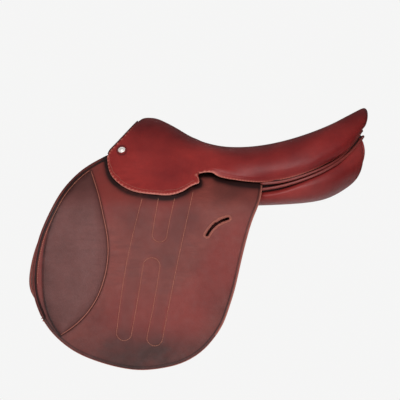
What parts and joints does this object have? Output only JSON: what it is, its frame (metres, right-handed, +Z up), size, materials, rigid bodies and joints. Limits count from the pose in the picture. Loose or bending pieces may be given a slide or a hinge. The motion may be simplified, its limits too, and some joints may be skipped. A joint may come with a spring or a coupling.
{
  "type": "english riding saddle",
  "caption": "Close-contact jumping saddle: dished leather seat, small skirts, forward-cut flaps with knee pads, padded panels either side of a gullet channel.",
  "frame": {"origin": "centre plane, level with the bearing faces of the panels, below the deepest part of the seat", "axes": "+X from pommel to cantle, +Y to the off (right) side, +Z up; the near (left) side is -Y"},
  "size_m": [0.6057, 0.4702, 0.4662],
  "materials": {
    "seat_leather": "smooth glossy oxblood calfskin",
    "dark_leather": "dark burnished leather facing",
    "flap_leather": "satin red-brown calfskin",
    "pad_leather": "satin grained calfskin",
    "under_leather": "satin calfskin",
    "panel_leather": "soft glossy calfskin over wool and foam",
    "strap_leather": "firm strap leather",
    "foam": "soft seat foam",
    "beech": "laminated beech",
    "steel": "forged and polished",
    "nail_metal": "polished nickel",
    "web": "woven flax web"
  },
  "bodies": {
    "saddle": {"bar_rivets": "steel", "cantle_facing": "dark_leather", "cantle_welt": "seat_leather", "catch_pins": "steel", "flap_top_left": "flap_leather", "flap_top_right": "flap_leather", "girth_web_front": "web", "girth_web_rear": "web", "head_plate": "steel", "knee_block_left": "under_leather", "knee_block_right": "under_leather", "panel_left": "panel_leather", "panel_right": "panel_leather", "panel_welt": "seat_leather", "pommel_facing": "dark_leather", "saddle_nails": "nail_metal", "seat_cover": "seat_leather", "seat_foam": "foam", "seat_webs": "web", "stirrup_bar_left": "steel", "stirrup_bar_right": "steel", "sweat_flap_left": "under_leather", "sweat_flap_right": "under_leather", "tree_frame": "beech", "web_tails_front": "web", "web_tails_rear": "web"},
    "flap_left": {"flap_left": "flap_leather", "knee_pad_left": "pad_leather"},
    "skirt_left": {"skirt_left": "seat_leather"},
    "bar_catch_left": {"bar_catch_left": "steel"},
    "billet_front_left": {"billet_front_left": "strap_leather"},
    "billet_rear_left": {"billet_rear_left": "strap_leather"},
    "flap_right": {"flap_right": "flap_leather", "knee_pad_right": "pad_leather"},
    "skirt_right": {"skirt_right": "seat_leather"},
    "bar_catch_right": {"bar_catch_right": "steel"},
    "billet_front_right": {"billet_front_right": "strap_leather"},
    "billet_rear_right": {"billet_rear_right": "strap_leather"}
  },
  "joints": [
    {"name": "flap_left_lift", "type": "hinge", "parent": "saddle", "child": "flap_left", "pos_m": [0, -0.15, 0.012], "axis": [-1, 0, 0], "range_deg": [0, 90]},
    {"name": "skirt_left_lift", "type": "hinge", "parent": "saddle", "child": "skirt_left", "pos_m": [-0.12915, -0.09844, 0.07424], "axis": [-0.9414, 0.2553, 0.2205], "range_deg": [0, 70]},
    {"name": "bar_catch_left_turn", "type": "hinge", "parent": "saddle", "child": "bar_catch_left", "pos_m": [-0.082, -0.1105, 0.046], "axis": [0.0058, -0.6901, 0.7237], "range_deg": [0, 60]},
    {"name": "billet_front_left_swing", "type": "hinge", "parent": "saddle", "child": "billet_front_left", "pos_m": [-0.139, -0.14482, 0.00084], "axis": [0, 0.963, -0.2696], "range_deg": [-3, 3]},
    {"name": "billet_rear_left_swing", "type": "hinge", "parent": "saddle", "child": "billet_rear_left", "pos_m": [-0.082, -0.14482, 0.00084], "axis": [0, 0.963, -0.2696], "range_deg": [-3, 3]},
    {"name": "flap_right_lift", "type": "hinge", "parent": "saddle", "child": "flap_right", "pos_m": [0, 0.15, 0.012], "axis": [1, 0, 0], "range_deg": [0, 90]},
    {"name": "skirt_right_lift", "type": "hinge", "parent": "saddle", "child": "skirt_right", "pos_m": [-0.12915, 0.09844, 0.07424], "axis": [0.9414, 0.2553, -0.2205], "range_deg": [0, 70]},
    {"name": "bar_catch_right_turn", "type": "hinge", "parent": "saddle", "child": "bar_catch_right", "pos_m": [-0.082, 0.1105, 0.046], "axis": [-0.0058, -0.6901, -0.7237], "range_deg": [0, 60]},
    {"name": "billet_front_right_swing", "type": "hinge", "parent": "saddle", "child": "billet_front_right", "pos_m": [-0.139, 0.14482, 0.00084], "axis": [0, 0.963, 0.2696], "range_deg": [-3, 3]},
    {"name": "billet_rear_right_swing", "type": "hinge", "parent": "saddle", "child": "billet_rear_right", "pos_m": [-0.082, 0.14482, 0.00084], "axis": [0, 0.963, 0.2696], "range_deg": [-3, 3]}
  ]
}
